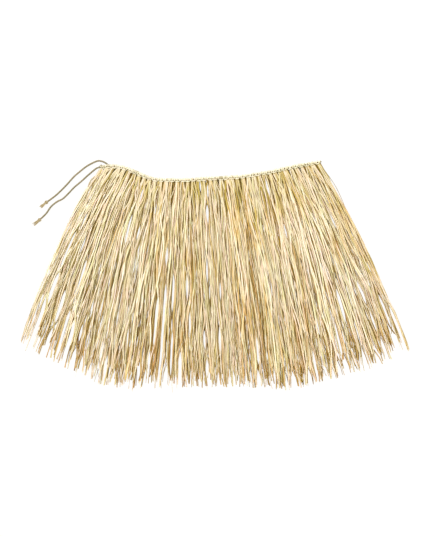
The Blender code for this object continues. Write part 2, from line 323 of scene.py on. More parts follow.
def drop(root: Array, share: float, at: Array) -> Array:
    """The way down of a strip that hangs from the waist.

    Args:
        root: where it starts.
        share: the share of the waist that it hangs from.
        at: shares of the drop, 1 at the hem.

    Returns:
        Its points, which spread as the skirt does.
    """
    root_lean, tip_lean, tip_x, tip_y = read_table(FAN, float(np.clip(share, 0.0, 1.0)))
    tip = np.array((tip_x, tip_y, 0.0))
    leans = np.radians((root_lean, tip_lean))
    ways = np.stack((-np.sin(leans), -np.cos(leans), np.zeros(2)), axis=-1)
    reach = np.linalg.norm((tip - root)[:2])
    c = at[:, None]
    return (
        root * (2 * c**3 - 3 * c**2 + 1)
        + ways[0] * reach * (c**3 - 2 * c**2 + c)
        + tip * (3 * c**2 - 2 * c**3)
        + ways[1] * reach * (c**3 - c**2)
    )


@dataclass
class Parting:
    """A gap between hanks that goes down to the table."""

    share: float  # of the waist
    start: float  # share of the drop where it opens
    end: float  # share of the drop where it closes
    width: float
    root_drop: float = 2.0  # from the cord to where its line starts
    easing: float = 0.1  # share of the drop over which it opens or closes
    shares: Array = field(init=False)
    line: Array = field(init=False)

    def __post_init__(self) -> None:
        """Lays its line in the fan."""
        along = WAIST.direction(self.share)
        hemward = np.array((along[1], -along[0], 0.0))
        root = WAIST.at(self.share)[0] + hemward * self.root_drop
        self.shares = np.linspace(0.0, 1.1, 100)
        self.line = drop(root, self.share, self.shares)

    def push(self, middle: Array, side: Array, at: Array, half_width: float) -> Array:
        """How far a strip moves aside to leave the gap open.

        Args:
            middle: the strip's points.
            side: the way across it at each point.
            at: the share of the drop at each point.
            half_width: half of its width.

        Returns:
            The sideways move at each point.
        """
        opened = smoothstep((at - self.start) / self.easing + 0.5)
        opened = opened * (1 - smoothstep((at - self.end) / self.easing + 0.5))
        if opened.max() < 0.05:
            return np.zeros_like(at)
        centre = np.stack(
            [np.interp(at, self.shares, self.line[:, k]) for k in range(3)], axis=-1
        )
        off = ((middle - centre) * side).sum(axis=1)
        way = 1.0 if off[int(np.argmax(opened))] > 0 else -1.0
        off = off * way
        wanted = self.width * 0.5 + half_width * 0.8
        moved = wanted * np.exp(-np.maximum(off, 0.0) / (1.7 * wanted)) - np.minimum(off, 0.0)
        return moved * opened * way


class Shade:
    """The nodes of a material or a world, added one by one."""

    def __init__(self, owner: bpy.types.Material | bpy.types.World) -> None:
        """Takes on the nodes that a new material or world starts with.

        Args:
            owner: the material or world.
        """
        owner.use_nodes = True
        self.owner = owner
        self.tree = owner.node_tree

    def node(
        self,
        kind: str,
        settings: dict[str, object] | None = None,
        inputs: dict[int | str, object] | None = None,
        output: int | str = 0,
    ) -> "Term":
        """Adds a node.

        Args:
            kind: the node's type.
            settings: its properties, set first; stops are a ramp's places and colours.
            inputs: a value or a Term for each socket that is named or numbered.
            output: the socket that is used from it.

        Returns:
            That output.
        """
        made = self.tree.nodes.new(kind)
        for name, value in (settings or {}).items():
            if name == "stops":
                self.set_stops(made.color_ramp, value)
            else:
                setattr(made, name, value)
        for name, value in (inputs or {}).items():
            self.feed(made.inputs[name], value)
        return Term(self, made.outputs[output])

    @staticmethod
    def set_stops(ramp: bpy.types.ColorRamp, stops: Stops) -> None:
        """Gives a ramp its stops.

        Args:
            ramp: a new node's ramp.
            stops: the places, from 0 to 1, and the colours there.
        """
        while len(ramp.elements) < len(stops):
            ramp.elements.new(1.0)
        for element, (place, colour) in zip(ramp.elements, stops, strict=True):
            element.position = place
            element.color = (*colour, 1.0)

    def feed(self, socket: bpy.types.NodeSocket, value: object) -> None:
        """Gives a socket what it reads.

        Args:
            socket: the input.
            value: a Term to link, or the socket's own value, which is a Colour for a colour.
        """
        if isinstance(value, Term):
            self.tree.links.new(value.socket, socket)
        elif socket.type == "RGBA":
            socket.default_value = (*value, 1.0)
        else:
            socket.default_value = value

    def dress(self, node: str, inputs: dict[str, object]) -> None:
        """Feeds sockets of a node that the material or world started with, by name."""
        for name, value in inputs.items():
            self.feed(self.tree.nodes[node].inputs[name], value)

    def attribute(self, name: str, output: str = "Vector") -> "Term":
        """A mesh attribute, read by name."""
        return self.node("ShaderNodeAttribute", {"attribute_name": name}, output=output)

    def split(self, vector: "Term") -> "tuple[Term, Term, Term]":
        """A vector's three numbers."""
        parts = self.node("ShaderNodeSeparateXYZ", {}, {0: vector}).socket.node.outputs
        return Term(self, parts[0]), Term(self, parts[1]), Term(self, parts[2])

    def scaled(self, vector: "Term", factors: Sequence[float]) -> "Term":
        """A vector with each axis scaled."""
        return self.node(
            "ShaderNodeVectorMath", {"operation": "MULTIPLY"}, {0: vector, 1: factors}
        )

    def noise(self, vector: "Term", factors: Sequence[float], detail: float = 2.0) -> "Term":
        """Noise from 0 to 1 on a vector whose axes are scaled."""
        inputs = {"Vector": self.scaled(vector, factors), "Scale": 1.0, "Detail": detail}
        return self.node("ShaderNodeTexNoise", {}, inputs)

    def span(self, value: "Term", low: float, high: float) -> "Term":
        """Where a value is between low and high, held to 0 and 1."""
        inputs = {"Value": value, "From Min": low, "From Max": high}
        return self.node("ShaderNodeMapRange", {"clamp": True}, inputs)

    def blend(self, kind: str, share: object, first: object, second: object) -> "Term":
        """Mixes two colours.

        Args:
            kind: Blender's name for the way.
            share: how much of the second comes in, from 0 to 1.
            first: the colour that is there.
            second: the colour that comes in.

        Returns:
            The mixed colour.
        """
        return self.node(
            "ShaderNodeMix",
            {"data_type": "RGBA", "blend_type": kind},
            {0: share, 6: first, 7: second},
            output=2,
        )

    def bump(self, height: "Term", strength: float, distance: float) -> "Term":
        """A bumped normal."""
        inputs = {"Height": height, "Strength": strength, "Distance": distance}
        return self.node("ShaderNodeBump", {}, inputs, output="Normal")


class Term:
    """A node's socket that takes part in arithmetic, by adding Math nodes."""

    def __init__(self, shade: Shade, socket: bpy.types.NodeSocket) -> None:
        """Wraps a socket of that material."""
        self.shade = shade
        self.socket = socket

    def _math(self, operation: str, first: object, second: object) -> "Term":
        """Adds one Math node."""
        return self.shade.node(
            "ShaderNodeMath", {"operation": operation}, {0: first, 1: second}
        )

    def __add__(self, other: object) -> "Term":
        """self + other."""
        return self._math("ADD", self, other)

    def __radd__(self, other: object) -> "Term":
        """other + self."""
        return self._math("ADD", other, self)

    def __sub__(self, other: object) -> "Term":
        """self - other."""
        return self._math("SUBTRACT", self, other)

    def __rsub__(self, other: object) -> "Term":
        """other - self."""
        return self._math("SUBTRACT", other, self)

    def __mul__(self, other: object) -> "Term":
        """self * other."""
        return self._math("MULTIPLY", self, other)

    def __rmul__(self, other: object) -> "Term":
        """other * self."""
        return self._math("MULTIPLY", other, self)


@dataclass(frozen=True)
class RaffiaFinish:
    """Dried raffia leaf: cream to tan, with fibres along it and warmer patches.

    The leaf_place attribute is (across, along, number of the strip), and leaf_look is
    (tone, warmth, painted shade for lying deep in the pile and at the edges). Each noise has
    its scale across a strip, along it and from strip to strip.
    """

    name: str = "raffia_leaf"
    tones: Stops = (
        (0.00, (0.20, 0.14, 0.01)),
        (0.18, (0.38, 0.295, 0.05)),
        (0.36, (0.575, 0.50, 0.265)),
        (0.54, (0.70, 0.65, 0.585)),
        (0.78, (0.785, 0.76, 0.80)),
        (1.00, (0.84, 0.83, 0.91)),
    )
    young: Colour = (0.70, 0.635, 0.66)  # unripe leaf, mostly by the hitches
    rust: Colour = (0.60, 0.35, 0.13)
    tan: Colour = (1.0, 0.825, 0.47)
    rosy: Colour = (1.0, 0.89, 0.95)
    green: Colour = (0.86, 0.925, 0.74)
    olive: Colour = (0.36, 0.30, 0.08)
    fleck: Colour = (0.30, 0.18, 0.06)
    painted_shade_colour: Colour = (0.35, 0.245, 0.035)  # painted shade: what a colour is multiplied towards deep in the pile and at an edge
    drift_scale: Triple = (0.10, 0.021, 1.7)
    streak_scale: Triple = (1.9, 0.02, 3.1)
    fibre_scale: Triple = (7.5, 0.05, 5.3)
    mottle_scale: Triple = (0.8, 0.06, 2.3)
    fleck_scale: Triple = (1.6, 0.5, 7.7)
    tint_scale: Triple = (0.06, 0.016, 4.3)
    roughness: float = 0.5
    gloss: float = 0.45
    relief: float = 0.00025  # height of the fibres, in metres

    def make(self) -> bpy.types.Material:
        """Builds the material.

        Returns:
            The material, which reads the mesh's two attributes.
        """
        shade = Shade(bpy.data.materials.new(self.name))
        place = shade.attribute("leaf_place")
        tone, warmth, depth = shade.split(shade.attribute("leaf_look"))
        drift = shade.noise(place, self.drift_scale)
        streak = shade.noise(place, self.streak_scale, detail=3.0)
        fibre = shade.noise(place, self.fibre_scale)
        mottle = shade.noise(place, self.mottle_scale, detail=3.0)
        dots = shade.noise(place, self.fleck_scale, detail=1.0)
        tint = shade.noise(place, self.tint_scale)
        tone = tone + (drift - 0.5) * 0.55 + (streak - 0.5) * 0.56
        hue = warmth - (drift - 0.5) * 0.6
        ripe = shade.span(hue, 0.15, 0.95) * (1 - shade.span(tone, 0.35, 1.0) * 0.7)
        colour = shade.node("ShaderNodeValToRGB", {"stops": self.tones}, {0: tone})
        for kind, share, second in (
            ("MULTIPLY", ripe, self.tan),
            ("MULTIPLY", shade.span(tint, 0.5, 0.66), self.rosy),
            ("MULTIPLY", 1 - shade.span(tint, 0.34, 0.5), self.green),
            ("MIX", (1 - shade.span(hue, -0.5, 0.1)) * 0.5, self.young),
            ("MIX", shade.span(warmth + (mottle - 0.5) * 0.5, 0.84, 1.06) * 0.65, self.rust),
            ("MIX", shade.span(mottle, 0.54, 0.72) * 0.5, self.olive),
            ("MIX", shade.span(dots, 0.70, 0.76) * 0.5, self.fleck),
            # painted shade: darker deep in the pile and at the strips' edges
            ("MULTIPLY", depth, self.painted_shade_colour),
        ):
            colour = shade.blend(kind, share, colour, second)
        inputs = {
            "Base Color": colour,
            "Roughness": self.roughness + (streak - 0.5) * 0.3,
            "Specular IOR Level": self.gloss,
            "Normal": shade.bump(streak * 0.5 + fibre * 0.4, 0.5, self.relief),
        }
        shade.dress("Principled BSDF", inputs)
        return shade.owner


@dataclass(frozen=True)
class HitchFinish(RaffiaFinish):
    """The leaf of the loops on the cord, which is greyer and more even than what hangs."""

    name: str = "raffia_hitch"
    tones: Stops = (
        (0.00, (0.30, 0.28, 0.20)),
        (0.30, (0.49, 0.49, 0.475)),
        (0.60, (0.61, 0.625, 0.665)),
        (1.00, (0.75, 0.765, 0.82)),
    )
    tan: Colour = (1.0, 0.98, 0.95)
    rosy: Colour = (1.0, 0.95, 0.97)
    green: Colour = (0.94, 0.96, 0.90)
    # painted shade at the loops' edges and undersides, milder than on the hanging leaf
    painted_shade_colour: Colour = (0.78, 0.73, 0.60)


@dataclass(frozen=True)
class CordFinish:
    """Twisted cord of the same leaf: greyer, matte, with fibres along its plies.

    The leaf_place attribute is (round the cord, along it, number of the cord), and the last
    number of leaf_look is 1 where hitches hold the cord, which gets painted shade there.
    """

    name: str = "twisted_cord"
    pale: Colour = (0.30, 0.285, 0.235)
    dark: Colour = (0.125, 0.112, 0.085)
    rose: Colour = (0.31, 0.255, 0.215)
    # painted shade on the cord where the hitches cover it
    held: Colour = (0.95, 0.85, 0.62)
    strand_scale: Triple = (2.2, 0.35, 4.1)
    patch_scale: Triple = (0.05, 0.035, 2.7)
    roughness: float = 0.72
    gloss: float = 0.3
    relief: float = 0.0003  # height of the fibres, in metres

    def make(self) -> bpy.types.Material:
        """Builds the material.

        Returns:
            The material, which reads the mesh's two attributes.
        """
        shade = Shade(bpy.data.materials.new(self.name))
        place = shade.attribute("leaf_place")
        strand = shade.noise(place, self.strand_scale, detail=3.0)
        patch = shade.noise(place, self.patch_scale)
        colour = shade.blend("MIX", shade.span(strand, 0.3, 0.7), self.dark, self.pale)
        colour = shade.blend("MIX", shade.span(patch, 0.45, 0.7) * 0.5, colour, self.rose)
        # painted shade where the hitches cover the cord
        held = shade.split(shade.attribute("leaf_look"))[2]
        inputs = {
            "Base Color": shade.blend("MULTIPLY", held, colour, self.held),
            "Roughness": self.roughness + (strand - 0.5) * 0.3,
            "Specular IOR Level": self.gloss,
            "Normal": shade.bump(strand, 0.6, self.relief),
        }
        shade.dress("Principled BSDF", inputs)
        return shade.owner


@dataclass(frozen=True)
class FrayedFinish(CordFinish):
    """The leaf of the end knots and past them, which is paler for being untwisted."""

    name: str = "frayed_cord"
    pale: Colour = (0.47, 0.42, 0.335)
    dark: Colour = (0.235, 0.20, 0.145)


@dataclass(frozen=True)
class FloorFinish:
    """A bright, even studio table."""

    name: str = "studio_table"
    glow: Colour = (0.96, 0.955, 0.955)
    pale: Colour = (0.06, 0.06, 0.06)
    roughness: float = 0.9
    gloss: float = 0.1

    def make(self) -> bpy.types.Material:
        """Builds the material.

        Returns:
            The material, whose shadows stay faint beside its glow.
        """
        shade = Shade(bpy.data.materials.new(self.name))
        inputs = {
            "Base Color": self.pale,
            "Roughness": self.roughness,
            "Specular IOR Level": self.gloss,
            "Emission Color": self.glow,
            "Emission Strength": 1.0,
        }
        shade.dress("Principled BSDF", inputs)
        return shade.owner


@dataclass
class Leaf:
    """One strip of leaf: where its middle runs, and its section at each place on it."""

    middle: Array  # (stations, 3)
    normal: Array  # (stations, 3), the way that its upper side faces before it rolls
    half_width: Array  # (stations,)
    roll: Array  # (stations,), radians about its own line
    fold: Array  # (stations,), radians that each half leans down from flat
    along: Array  # (stations,), its length so far
    tone: Array | float
    warmth: Array | float
    # painted shade, from 0 to 1, for lying deep in the pile
    depth: Array | float
    ridge: float = 0.0  # where its fold is, from -1 to 1 across it
    crease: float = 1.4  # 1 for a sharp fold, 2 for a round gutter
    thickness: float = 0.3


class LeafPile:
    """Strips of leaf that are built as one mesh of closed bodies."""

    count = 4  # points across a strip
    edge_shade = np.array((0.55, 0.0, 0.0, 0.55, 0.7, 0.3, 0.3, 0.7))  # painted shade at a strip's edges and over its underside
    rim = 0.08  # of a strip's column in the map, on each side
    cap_rim = 0.008  # of its length there, for the face at each end
    column_width = 12.0  # how much wider than to scale a strip is in the map
    lowest = 0.05  # the height that no strip goes below

    def __init__(self, name: str, first_number: int = 0) -> None:
        """Starts an empty pile.

        Args:
            name: the piece's name.
            first_number: the number of its first strip, which sets how their grain differs.
        """
        self.name = name
        self.leaves: list[Leaf] = []
        self.first_number = first_number

    def add(self, leaf: Leaf) -> None:
        """Adds a strip."""
        self.leaves.append(leaf)

    def columns(self, leaf: Leaf) -> Array:
        """The places across a strip that have points.

        Args:
            leaf: the strip.

        Returns:
            The places, from -1 to 1, of which one is on the ridge.
        """
        ridge = leaf.ridge
        if ridge > 0:
            return np.array((-1.0, (ridge - 1) / 2, ridge, 1.0))
        return np.array((-1.0, ridge, (ridge + 1) / 2, 1.0))

    def ring_points(self, leaf: Leaf) -> Array:
        """A strip's surface.

        Args:
            leaf: the strip.

        Returns:
            Points, as (stations, round the section, 3): the upper row from left to right,
            then the lower row back.
        """
        tangent = unit(np.gradient(leaf.middle, axis=0))
        side = unit(np.cross(leaf.normal, tangent))
        upward = np.cross(tangent, side)
        turn_cos, turn_sin = np.cos(leaf.roll)[:, None], np.sin(leaf.roll)[:, None]
        across = side * turn_cos + upward * turn_sin
        rise = (upward * turn_cos - side * turn_sin)[:, None]
        x = self.columns(leaf)
        half = leaf.half_width[:, None, None]
        lean = leaf.fold[:, None, None]
        away = np.sign(leaf.ridge * (leaf.ridge - x))
        reach = np.abs(x - leaf.ridge) / (1 + np.abs(leaf.ridge) * away)
        crown = (0.6 - reach**leaf.crease)[None, :, None]
        upper = (
            leaf.middle[:, None]
            + across[:, None] * x[None, :, None] * half * np.cos(lean)
            + rise * crown * half * np.sin(lean)
        )
        lower = upper - rise * leaf.thickness
        lower[..., 2] = np.maximum(lower[..., 2], self.lowest)
        upper[..., 2] = np.maximum(upper[..., 2], self.lowest + leaf.thickness)
        return np.concatenate((upper, lower[:, ::-1]), axis=1)

    def faces_of(self, stations: int) -> Array:
        """A strip's faces.

        Args:
            stations: how many sections it has.

        Returns:
            Its quads, as numbers of its own points, with those of its two ends last.
        """
        around = 2 * self.count
        k = np.arange(around)
        following = (k + 1) % around
        low = (np.arange(stations - 1) * around)[:, None]
        high = low + around
        sides = np.stack((low + k, high + k, high + following, low + following), axis=-1)
        c = np.arange(self.count - 1)
        first = np.stack((c, c + 1, around - 2 - c, around - 1 - c), axis=-1)
        last = first[:, ::-1] + (stations - 1) * around
        return np.concatenate((sides.reshape(-1, 4), first, last))

    def map_of(self, stations: int) -> Array:
        """A strip's place in its own column of the map.

        Args:
            stations: how many sections it has.

        Returns:
            The place of each corner of its quads, from 0 to 1 both ways.
        """
        share = np.linspace(0.0, 1.0, self.count)
        upper = self.rim + share * (1 - 2 * self.rim)
        lower = self.rim / 4 + share[::-1] * (1 - self.rim / 2)
        u = np.tile(np.concatenate((upper, lower)), stations)
        v = np.repeat(np.linspace(0.01, 0.99, stations), 2 * self.count)
        corners = self.faces_of(stations)
        found = np.stack((u[corners], v[corners]), axis=-1)
        caps = 2 * (self.count - 1)
        found[-caps : -caps // 2, 2:, 1] -= self.cap_rim
        found[-caps // 2 :, :2, 1] += self.cap_rim
        return found

    def build(self, look: bpy.types.Material) -> bpy.types.Object:
        """Makes the object.

        Args:
            look: its material.

        Returns:
            The object, with the strips' places and looks as attributes.
        """
        points, faces, maps, places, looks = [], [], [], [], []
        total = len(self.leaves)
        longest = max(leaf.along[-1] for leaf in self.leaves)
        rows = max(1, round(math.sqrt(total * self.column_width / longest)))
        cells = math.ceil(total / rows)
        base = 0
        for number, leaf in enumerate(self.leaves):
            ring = self.ring_points(leaf)
            stations, around = ring.shape[:2]
            points.append(ring.reshape(-1, 3))
            faces.append(self.faces_of(stations) + base)
            cell = np.array((number % cells / cells, number // cells / rows))
            maps.append(cell + self.map_of(stations) * (1 / cells, 1 / rows))
            x = self.columns(leaf)
            place = np.empty((stations, around, 3))
            place[..., 0] = np.concatenate((x, x[::-1])) * leaf.half_width[:, None]
            place[..., 1] = leaf.along[:, None]
            place[..., 2] = self.first_number + number
            places.append(place.reshape(-1, 3))
            look_of = np.empty((stations, around, 3))
            for k, value in enumerate((leaf.tone, leaf.warmth, leaf.depth)):
                look_of[..., k] = np.broadcast_to(value, (stations,))[:, None]
            # painted shade at the edges and underneath, on top of the pile's painted shade
            look_of[..., 2] += self.edge_shade
            looks.append(look_of.reshape(-1, 3))
            base += stations * around
        return make_mesh(
            self.name,
            np.concatenate(points),
            np.concatenate(faces),
            look,
            np.concatenate(maps),
            {"leaf_place": np.concatenate(places), "leaf_look": np.concatenate(looks)},
        )


def placed(name: str, data: bpy.types.ID) -> bpy.types.Object:
    """Makes an object of a mesh, light or camera, in the scene.

    Args:
        name: the object's name.
        data: what it shows.

    Returns:
        The object.
    """
    made = bpy.data.objects.new(name, data)
    bpy.context.scene.collection.objects.link(made)
    return made


def make_mesh(
    name: str,
    points: Array,
    faces: Array,
    look: bpy.types.Material,
    corners: Array,
    attributes: dict[str, Array],
) -> bpy.types.Object:
    """Makes a mesh object from quads.

    Args:
        name: the piece's name.
        points: places in the skirt's plan, in millimetres.
        faces: four numbers of points for each quad.
        look: its material.
        corners: each quad's four places in the map.
        attributes: a vector for each point, by name.

    Returns:
        The object, in the frame's own place and size.
    """
    mesh = bpy.data.meshes.new(name)
    mesh.from_pydata(((points + LAID_AT) * MM).tolist(), [], faces.tolist())
    layer = mesh.uv_layers.new(name="OFBake")
    layer.data.foreach_set("uv", corners.astype(np.float32).ravel())
    for key, values in attributes.items():
        made = mesh.attributes.new(key, "FLOAT_VECTOR", "POINT")
        made.data.foreach_set("vector", values.astype(np.float32).ravel())
    mesh.shade_smooth()
    mesh.set_sharp_from_angle(angle=SHARP_FROM)
    mesh.materials.append(look)
    return placed(name, mesh)


def wave(rng: np.random.Generator, length: Array, size: float) -> Array:
    """A soft, uneven wave along a strip.

    Args:
        rng: where its own chances come from.
        length: the length so far at each station.
        size: about how far it goes either way.

    Returns:
        The wave's value at each station.
    """
    total = np.zeros_like(length)
    for wavelength, part in ((150.0, 0.5), (67.0, 0.4), (31.0, 0.28)):
        turned = math.tau * (length / wavelength / rng.uniform(0.75, 1.35) + rng.random())
        total += part * np.sin(turned)
    return total * size


@dataclass(frozen=True)
class Lie:
    """How the strips of one layer lie in their panel's pile."""

    level: int  # how many layers are under it
    strips: int  # in each hitch
    held: float  # how far to each side of the hank's middle the hitch holds them
    gathered: float  # the share of its width that a strip has there
    start: float  # height of a strip's end over the heading's underside
    crest: float  # its height where it leaves the heading
    root_shade: tuple[float, float]  # painted shade at the root: for all, and the most by chance
    dark: tuple[float, float]  # painted shade further down: near the root, and at the hem
    shade_reach: float  # how far down the first painted shade goes over into the second


class Layer(Enum):
    """Where a strip lies in its panel's pile."""

    # The last three numbers of each are painted shade, deepest in the lowest layer and by the
    # root.
    LOW = Lie(0, 5, 4.6, 1.10, 0.9, 1.4, (1.0, 0.0), (0.86, 0.86), 110.0)
    MIDDLE = Lie(1, 5, 3.3, 1.00, 1.5, 2.4, (0.88, 0.0), (0.52, 0.34), 45.0)
    TOP = Lie(2, 7, 2.8, 1.05, 2.5, 3.7, (0.0, 0.3), (0.0, 0.0), 16.0)


@dataclass
class Hank:
    """What the strips of one hitch share."""

    width: float  # of the gathered hank, as a share of the usual
    shift: float  # of its middle along the waist
    ripe: Array  # how ripe the leaf is at equal steps down it, 0 for the usual

    def ripeness(self, length: Array) -> Array:
        """How ripe the leaf is at lengths down the hank."""
        return np.interp(length, np.linspace(0.0, FULL_DROP, len(self.ripe)), self.ripe)

    @classmethod
    def row(
        cls, rng: np.random.Generator, count: int, steps: int = 8, ripest: float = 1.9
    ) -> "list[Hank]":
        """The hanks of a panel, of which neighbours are alike.

        Args:
            rng: where their chances come from.
            count: how many there are.
            steps: at how many places down it a hank's ripeness is drawn.
            ripest: the limit of it, either way.

        Returns:
            The hanks, from the free end to the fold.
        """
        ripe = rng.normal(size=(count + 2, steps)) + rng.normal(0, 0.7, (count + 2, 1))
        ripe = 0.8 * ripe[1:-1] + 0.5 * (ripe[:-2] + ripe[2:])
        ripe = ripest * np.tanh(ripe / ripest)
        return [cls(rng.uniform(0.78, 1.12), rng.normal(0, 0.6), down) for down in ripe]


@dataclass
class Panel:
    """One half of the skirt: hitches along the cord, and the hanks of leaf below them."""

    name: str
    start: float  # share of the waist where it begins
    base: float  # height of the heading's underside
    rest: float  # height on which its lowest strips lie
    droop: float  # how far its free end sinks
    seed: int
    widths: tuple[float, float] = (1.1, 4.0)  # of the narrowest and the widest strips
    layer_step: float = 1.4  # from one layer's height to the next one's
    stations: int = 34
    hank_half: float = 5.8  # how far a hank spreads to each side below the hitch
    loose_from: tuple[float, float] = (20.0, 64.0)  # how far down it stays gathered
    ragged: float = 52.0  # how much shorter than the longest a strip may be
    sparse_cut: float = 110.0  # how much more than that it may be at the two sides
    corner_cut: float = 12.0  # how much shorter the very first strips are
    stray_share: float = 0.09  # of the top layer, which are thin fibres
    clumped: float = 0.09  # how far a hank's tips draw together
    sway: tuple[float, float] = field(init=False, default=(0.0, 0.0))
    hanks: list[Hank] = field(init=False, default_factory=list)
    partings: list[Parting] = field(default_factory=lambda: [Parting(*row) for row in PARTINGS])

    def share(self, along: float) -> float:
        """A share of this panel as a share of the whole waist."""
        return mix(self.start, 1.0, along)

    def sunk(self, share: float) -> float:
        """How far the heading sinks at a share of the waist."""
        return self.droop * (1 - float(smoothstep(share / 0.05)))

    def axes(self, share: float) -> tuple[Array, Array, Array]:
        """A place of the heading.

        Args:
            share: where along the waist.

        Returns:
            The cord's line there at the height of the heading's underside, the way along
            the waist, and the way to the hem.
        """
        along = WAIST.direction(share)
        point = WAIST.at(share)[0].copy()
        point[2] = self.base - self.sunk(share)
        return point, along, np.array((along[1], -along[0], 0.0))

    def cord_points(self) -> Array:
        """The cord's middle inside this heading, from the free end to the fold."""
        shares = self.share(np.linspace(0.0, 1.0, 25))
        return np.array([self.axes(s)[0] + UP * HITCH_HEIGHT / 2 for s in shares])

    def leaf(self, rng: np.random.Generator, hitch: int, layer: Layer, slot: float) -> Leaf:
        """One strip of a hank.

        Args:
            rng: where its own chances come from.
            hitch: the number of its hitch.
            layer: where it lies in the pile.
            slot: its place across the hank, from -1 to 1.

        Returns:
            The strip.
        """
        lie, hank = layer.value, self.hanks[hitch]
        stray = rng.random() < self.stray_share and layer is Layer.TOP
        share = self.share((hitch + 0.5) / HITCHES)
        own = share + (slot * 0.46 + rng.normal(0, 0.20)) / HITCHES
        edge = 0.35 / HITCHES
        own = float(np.clip(own, edge * rng.random(), 1 - edge * rng.random()))
        point, along, hemward = self.axes(share)
        spread = slot * self.hank_half + rng.normal(0, 1.5)
        squeezed = slot * lie.held * hank.width + hank.shift - spread
        root = point + hemward * rng.uniform(-0.4, 0.6) + along * spread
        end = self.end_of(rng, own, stray)
        at = np.linspace(0.0, 1.0, self.stations) ** 1.12 * end
        middle = drop(root, own, at)
        tangent = unit(np.gradient(middle, axis=0) * (1, 1, 0))
        side = np.stack((-tangent[:, 1], tangent[:, 0], np.zeros_like(at)), axis=-1)
        length = at * LEAF_RUN
        held = 1 - smoothstep(length / rng.uniform(*self.loose_from))
        middle = middle + along * squeezed * held[:, None]
        middle = middle + side * self.stray_off(rng, own, at, length)[:, None]
        gathering = drop(root, share, at) - drop(root, own, at)
        middle = middle + gathering * (self.clumped * smoothstep((at - 0.7) / 0.35))[:, None]
        half = self.half_widths(rng, at, end, length, stray, lie.gathered)
        for parting in self.partings:
            moved = parting.push(middle, side, at, float(half.mean()))
            middle = middle + side * moved[:, None]
        middle[:, 2] = self.heights(rng, root[2], at, length, lie)
        ripe = hank.ripeness(length)
        near_tip = smoothstep((at / end - 0.8) / 0.2)
        # a little darker in the lower layers: painted shade
        tone = np.clip(rng.normal(0.63 + 0.04 * lie.level, 0.19), 0.0, 1.0)
        tone = tone - (0.22 if stray else 0.0)
        warmth = self.warmth(rng, tone, length, ripe)
        roll = self.rolling(rng, length)
        fold = self.folding(rng, at, length)
        tone = self.toned(rng, tone, length, ripe, near_tip)
        # the strips at the panel's two sides get less painted shade, with nothing lying over them
        inside = float(0.02 < own < 0.98)
        return Leaf(
            middle=middle,
            normal=np.tile(UP, (len(at), 1)),
            half_width=half,
            roll=roll,
            fold=fold,
            along=length,
            tone=tone,
            warmth=warmth + 0.16 * near_tip,
            depth=self.pile_shading(rng, at, length, lie) * mix(0.35, 1.0, inside),
            ridge=rng.uniform(-0.45, 0.45),
            crease=rng.uniform(1.1, 2.0),
        )

    def end_of(self, rng: np.random.Generator, own: float, stray: bool) -> float:
        """Where a strip ends.

        Args:
            rng: where its own chances come from.
            own: the share of the waist that it hangs from.
            stray: whether it is a thin fibre.

        Returns:
            Its end, as a share of the drop.
        """
        sparse = 1 - smoothstep(own / 0.16) + smoothstep((own - 0.9) / 0.1)
        sparse = sparse * (0.015 < own < 0.985)
        shortened = self.ragged * rng.random() - 3.0
        shortened = shortened + self.sparse_cut * sparse * rng.random() ** 1.6
        shortened += self.corner_cut * (1 - smoothstep(own / 0.03))
        return 1 - shortened / FULL_DROP + (rng.uniform(0.008, 0.022) if stray else 0.0)

    @staticmethod
    def warmth(rng: np.random.Generator, tone: float, length: Array, ripe: Array) -> Array:
        """How warm a strip's colour is.

        Args:
            rng: where its own chances come from.
            tone: how pale it is.
            length: the length so far at each station.
            ripe: how ripe the leaf is at each station.

        Returns:
            The warmth at each station, least by the hitch.
        """
        young = 0.28 * (1 - smoothstep(length / 130)) + 0.40 * (1 - smoothstep(length / 90))
        aged = 0.06 * smoothstep((length - 180) / 200)
        return 0.27 + 0.56 * rng.random() - 0.5 * (tone - 0.66) + 0.11 * ripe - young + aged

    @staticmethod
    def toned(
        rng: np.random.Generator, tone: float, length: Array, ripe: Array, near_tip: Array
    ) -> Array:
        """How pale a strip is.

        Args:
            rng: where its own chances come from.
            tone: how pale it is as a whole.
            length: the length so far at each station.
            ripe: how ripe the leaf is at each station.
            near_tip: 1 at its tip, and 0 from a little above it.

        Returns:
            The tone at each station, which is even and not too pale by the hitch: painted shade
            there.
        """
        near_root = 1 - smoothstep(length / 130)
        # darker near the root, and capped there below: painted shade by the hitch
        found = tone + mix(0.215, rng.normal(-0.12, 0.17), near_root) - 0.13 * ripe
        found = found - 0.07 * near_tip * rng.random()
        return np.minimum(found, mix(1.0, 0.68, 1 - smoothstep(length / 180)))

    @staticmethod
    def pile_shading(rng: np.random.Generator, at: Array, length: Array, lie: Lie) -> Array:
        """The painted shade of a strip for lying among others.

        Args:
            rng: where its own chances come from.
            at: the share of the drop at each station.
            length: the length so far at each station.
            lie: how its layer lies.

        Returns:
            The painted shade at each station, from 0 to 1.
        """
        lower = mix(*lie.dark, smoothstep(at / 0.7)) * rng.uniform(0.5, 1.0)
        root = lie.root_shade[0] + lie.root_shade[1] * rng.random() ** 3
        reach = lie.shade_reach * rng.uniform(0.5, 1.2)
        return mix(lower, root, 1 - smoothstep(length / reach))

    def stray_off(
        self, rng: np.random.Generator, share: float, at: Array, length: Array
    ) -> Array:
        """How far a strip strays to its side, at each station.

        Args:
            rng: where its own chances come from.
            share: the share of the waist that it hangs from.
            at: the share of the drop at each station.
            length: the length so far at each station.

        Returns:
            The sideways way, of which a part is the same for strips that are neighbours.
        """
        # One long swing, and a shorter one.
        slow = 5.0 * np.sin(math.tau * (at * rng.uniform(0.5, 1.6) + rng.random())) * at**0.5
        turned = length / rng.uniform(130, 260) + rng.random()
        slow = slow + rng.uniform(0.8, 3.4) * np.sin(math.tau * turned)
